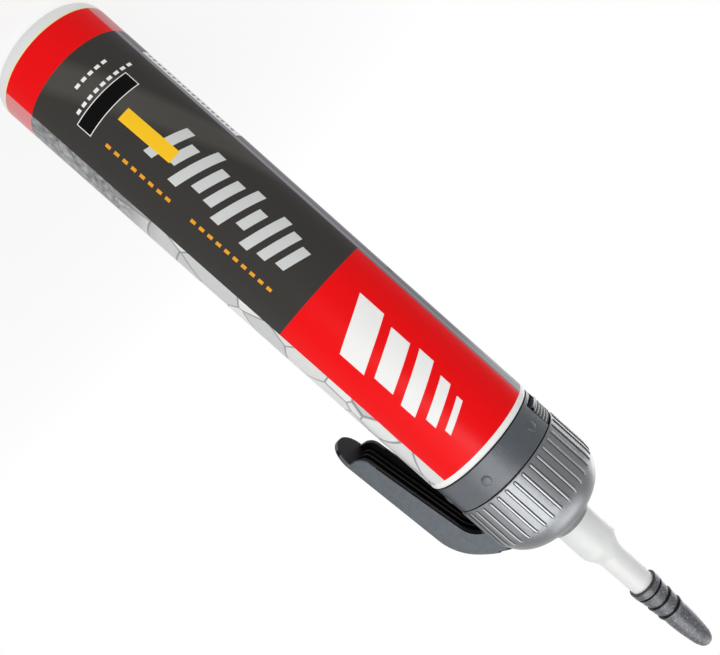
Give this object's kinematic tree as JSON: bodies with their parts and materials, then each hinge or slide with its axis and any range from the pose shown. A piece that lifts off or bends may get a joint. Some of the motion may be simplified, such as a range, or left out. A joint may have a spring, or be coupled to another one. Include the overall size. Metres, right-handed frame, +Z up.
{
  "type": "pressurised caulk can",
  "caption": "Slim upright caulk can with a domed ribbed head, a squeeze lever down one side, a long nozzle and a pointed cap.",
  "frame": {"origin": "centre of the standing ring under the can, on the can's axis", "axes": "+Z up the can's axis to the nozzle's cap, +X towards the squeeze lever"},
  "size_m": [0.0669, 0.05, 0.3276],
  "materials": {
    "printed_can": "glossy print in red and charcoal fields",
    "plug_rubber": "matt",
    "cup_metal": "gold-lacquered tinplate",
    "grommet_rubber": "matt",
    "stem_plastic": "natural",
    "collar_plastic": "fine texture",
    "catch_plastic": "satin",
    "knob_silver": "silver metallic",
    "lever_plastic": "satin",
    "nozzle_plastic": "milky translucent",
    "cap_plastic": "speckled satin"
  },
  "bodies": {
    "can_body": {"can": "printed_can", "base_plug": "plug_rubber", "valve_cup": "cup_metal", "valve_grommet": "grommet_rubber", "collar": "collar_plastic"},
    "stem_body": {"valve_stem": "stem_plastic"},
    "nozzle_body": {"nozzle": "nozzle_plastic"},
    "cap_body": {"nozzle_cap": "cap_plastic"},
    "knob_body": {"knob": "knob_silver"},
    "lever_body": {"lever": "lever_plastic"},
    "catch_body": {"catch": "catch_plastic"}
  },
  "joints": [
    {"name": "knob_turn", "type": "hinge", "parent": "can_body", "child": "knob_body", "pos_m": [0, 0, 0.2355], "axis": [0, 0, 1], "range_deg": [0, 60]},
    {"name": "lever_press", "type": "hinge", "parent": "knob_body", "child": "lever_body", "pos_m": [-0.017, 0, 0.2355], "axis": [0, 1, 0], "range_deg": [0, 8], "stiffness_Nm_per_rad": 6, "springref_deg": -2.86},
    {"name": "stem_slide", "type": "slide", "parent": "can_body", "child": "stem_body", "axis": [0, 0, -1], "range_m": [0, 0.0024], "stiffness_N_per_m": 20, "springref_m": -0.001},
    {"name": "nozzle_slide", "type": "slide", "parent": "stem_body", "child": "nozzle_body", "axis": [0, 0, 1], "range_m": [0, 0.04]},
    {"name": "cap_slide", "type": "slide", "parent": "nozzle_body", "child": "cap_body", "axis": [0, 0, 1], "range_m": [0, 0.04]},
    {"name": "catch_slide", "type": "slide", "parent": "can_body", "child": "catch_body", "axis": [0, 0, -1], "range_m": [0, 0.0015], "stiffness_N_per_m": 300, "springref_m": -0.0005}
  ],
  "couplings": [
    {"joint": "stem_slide", "follows": "lever_press", "m_per_rad": 0.017}
  ]
}
